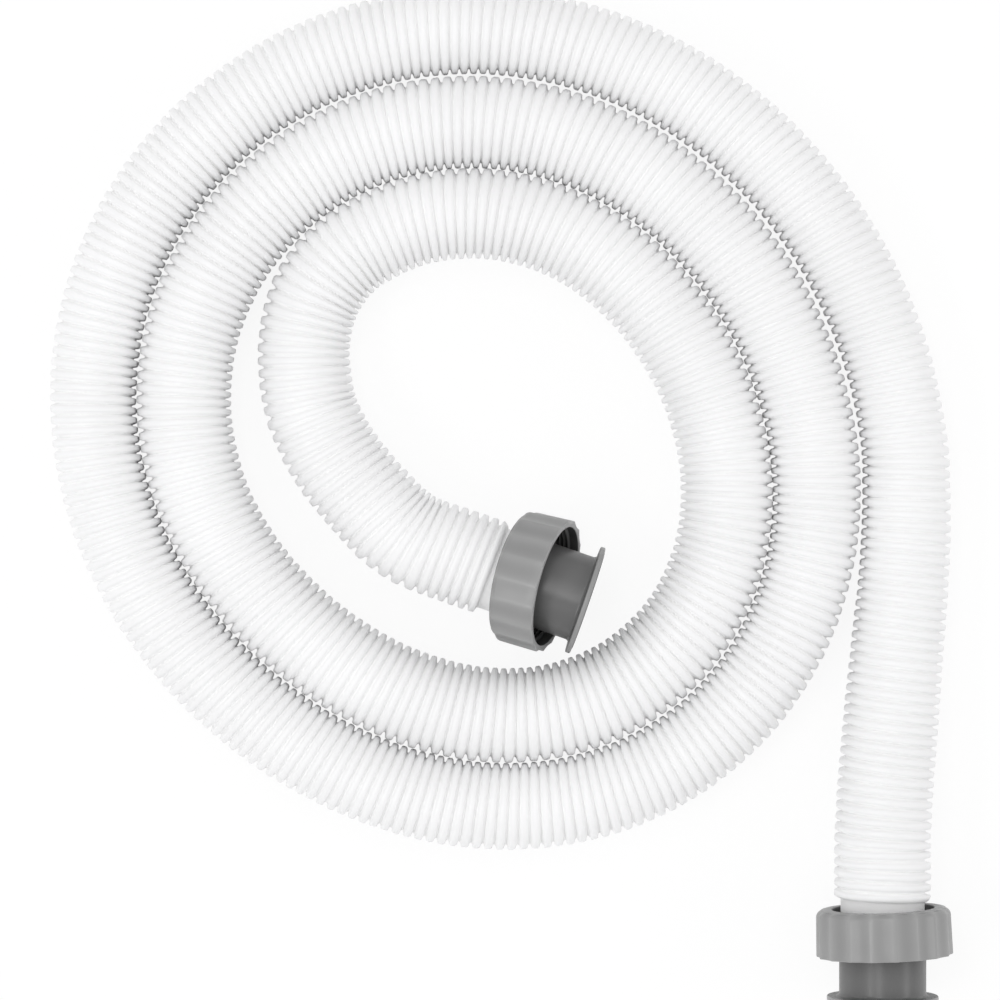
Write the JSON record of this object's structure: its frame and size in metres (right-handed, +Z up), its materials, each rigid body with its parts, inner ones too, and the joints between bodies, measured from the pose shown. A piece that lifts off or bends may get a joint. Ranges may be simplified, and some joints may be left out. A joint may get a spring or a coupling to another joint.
{
  "type": "pool vacuum hose",
  "caption": "Ribbed white pool vacuum hose lying in a flat coil, with a flanged grey tailpiece, a flat seal and a loose fluted union nut at each end.",
  "frame": {"origin": "middle of the coiled hose's footprint, on the floor that it lies on", "axes": "+Z up from the floor, the shortest way of the whole; +Y the longest way, away from the outer end's open mouth; +X to the right, towards the side of the coil where the outer end runs straight out"},
  "size_m": [0.4597, 0.5157, 0.0717],
  "materials": {
    "hose_white": "satin",
    "nut_grey": "satin",
    "tail_grey": "smooth",
    "seal_black": "matte"
  },
  "bodies": {
    "hose_with_tails": {"hose": "hose_white", "inner_tailpiece": "tail_grey", "outer_tailpiece": "tail_grey", "inner_seal": "seal_black", "outer_seal": "seal_black"},
    "inner_nut": {"inner_union_nut": "nut_grey"},
    "outer_nut": {"outer_union_nut": "nut_grey"}
  },
  "joints": [
    {"name": "inner_nut_spin", "type": "hinge", "parent": "hose_with_tails", "child": "inner_nut", "pos_m": [0.00621, -0.04187, 0.03182], "axis": [0.9258, -0.2394, 0.2924], "continuous": true},
    {"name": "outer_nut_spin", "type": "hinge", "parent": "hose_with_tails", "child": "outer_nut", "pos_m": [0.19398, -0.2105, 0.0348], "axis": [0.0349, -0.9994, 0], "continuous": true}
  ]
}
